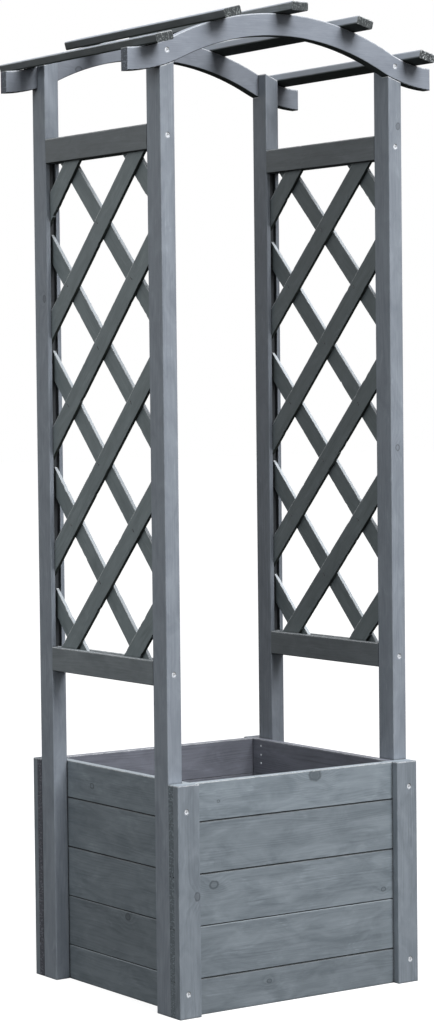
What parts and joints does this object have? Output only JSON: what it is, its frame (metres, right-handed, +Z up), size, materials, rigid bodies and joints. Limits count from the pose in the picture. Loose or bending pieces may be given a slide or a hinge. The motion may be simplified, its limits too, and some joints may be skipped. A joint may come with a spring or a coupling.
{
  "type": "pergola with planter box",
  "caption": "Small timber pergola over a planter box, with lattice side panels, recurve arches and a slatted roof.",
  "frame": {"origin": "on the ground, under the middle of the four posts", "axes": "+X to the right seen from the front, +Y to the back, +Z up"},
  "size_m": [0.626, 0.496, 1.6765],
  "materials": {
    "post_wood": "grey stained softwood, planed, light grain",
    "board_wood": "grey stained tongue and groove softwood boards",
    "lattice_wood": "grey stained thin softwood laths",
    "arch_wood": "grey stained softwood, planed, light grain",
    "slat_wood": "grey stained softwood with open end grain",
    "inner_wood": "grey stained softwood, unplaned inside face",
    "screw_steel": "bright zinc plated"
  },
  "bodies": {
    "root": {"arch_screws": "screw_steel", "bearer_screws": "screw_steel", "floor_board_1": "inner_wood", "floor_board_2": "inner_wood", "floor_board_3": "inner_wood", "floor_board_4": "inner_wood", "floor_screws": "screw_steel", "front_arch": "arch_wood", "front_left_post": "post_wood", "front_left_trim": "board_wood", "front_right_post": "post_wood", "front_right_trim": "board_wood", "front_wall_board_1": "board_wood", "front_wall_board_2": "board_wood", "front_wall_board_3": "board_wood", "front_wall_board_4": "board_wood", "front_wall_board_5": "board_wood", "left_floor_bearer": "inner_wood", "left_high_rail": "post_wood", "left_lattice_rising_to_front": "lattice_wood", "left_lattice_rising_to_rear": "lattice_wood", "left_low_rail": "post_wood", "left_wall_board_1": "board_wood", "left_wall_board_2": "board_wood", "left_wall_board_3": "board_wood", "left_wall_board_4": "board_wood", "left_wall_board_5": "board_wood", "rail_screws": "screw_steel", "rear_arch": "arch_wood", "rear_left_post": "post_wood", "rear_left_trim": "board_wood", "rear_right_post": "post_wood", "rear_right_trim": "board_wood", "rear_wall_board_1": "board_wood", "rear_wall_board_2": "board_wood", "rear_wall_board_3": "board_wood", "rear_wall_board_4": "board_wood", "rear_wall_board_5": "board_wood", "right_floor_bearer": "inner_wood", "right_high_rail": "post_wood", "right_lattice_rising_to_front": "lattice_wood", "right_lattice_rising_to_rear": "lattice_wood", "right_low_rail": "post_wood", "right_wall_board_1": "board_wood", "right_wall_board_2": "board_wood", "right_wall_board_3": "board_wood", "right_wall_board_4": "board_wood", "right_wall_board_5": "board_wood", "roof_slat_1": "slat_wood", "roof_slat_2": "slat_wood", "roof_slat_3": "slat_wood", "roof_slat_4": "slat_wood", "roof_slat_5": "slat_wood", "roof_slat_screws": "screw_steel", "trim_screws": "screw_steel"}
  },
  "joints": []
}
